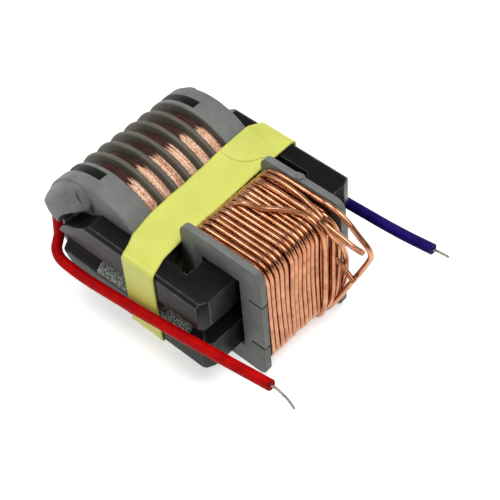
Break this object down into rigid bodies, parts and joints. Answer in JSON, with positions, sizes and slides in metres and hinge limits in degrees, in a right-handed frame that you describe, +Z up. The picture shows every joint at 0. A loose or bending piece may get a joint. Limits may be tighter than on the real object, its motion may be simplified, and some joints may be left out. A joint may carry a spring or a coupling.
{
  "type": "high voltage transformer",
  "caption": "Ferrite-core high voltage transformer with a slotted round secondary, a heavy wire-wound primary, a yellow tape band and a red and a blue lead.",
  "frame": {"origin": "middle of the part's footprint without the two leads, on the surface that the flanges and plates stand on", "axes": "+X along both winding axes towards the blue lead, +Y from the primary to the secondary, +Z up"},
  "size_m": [0.051, 0.0758, 0.0318],
  "materials": {
    "ferrite": "matt sintered ferrite",
    "grit": "rough grey strip",
    "moulding": "matt grey moulding",
    "fine_copper": "enamelled fine copper wire",
    "copper": "enamelled copper wire",
    "polyester": "yellow polyester tape",
    "red_silicone": "red lead insulation",
    "blue_silicone": "blue lead insulation",
    "tinned": "tinned copper strands"
  },
  "bodies": {
    "root": {"core_near": "ferrite", "core_far": "ferrite", "groove_pad_near": "grit", "groove_pad_far": "grit", "secondary_bobbin": "moulding", "secondary_coil_1": "fine_copper", "secondary_coil_2": "fine_copper", "secondary_coil_3": "fine_copper", "secondary_coil_4": "fine_copper", "secondary_coil_5": "fine_copper", "secondary_coil_6": "fine_copper", "primary_bobbin": "moulding", "primary_inner_layers": "fine_copper", "primary_winding": "copper", "primary_cross_wire": "copper", "primary_loop": "copper", "primary_start_tail": "copper", "primary_tap_stub": "copper", "core_tape": "polyester", "red_lead": "red_silicone", "red_conductor": "tinned", "blue_lead": "blue_silicone", "blue_conductor": "tinned"}
  },
  "joints": []
}
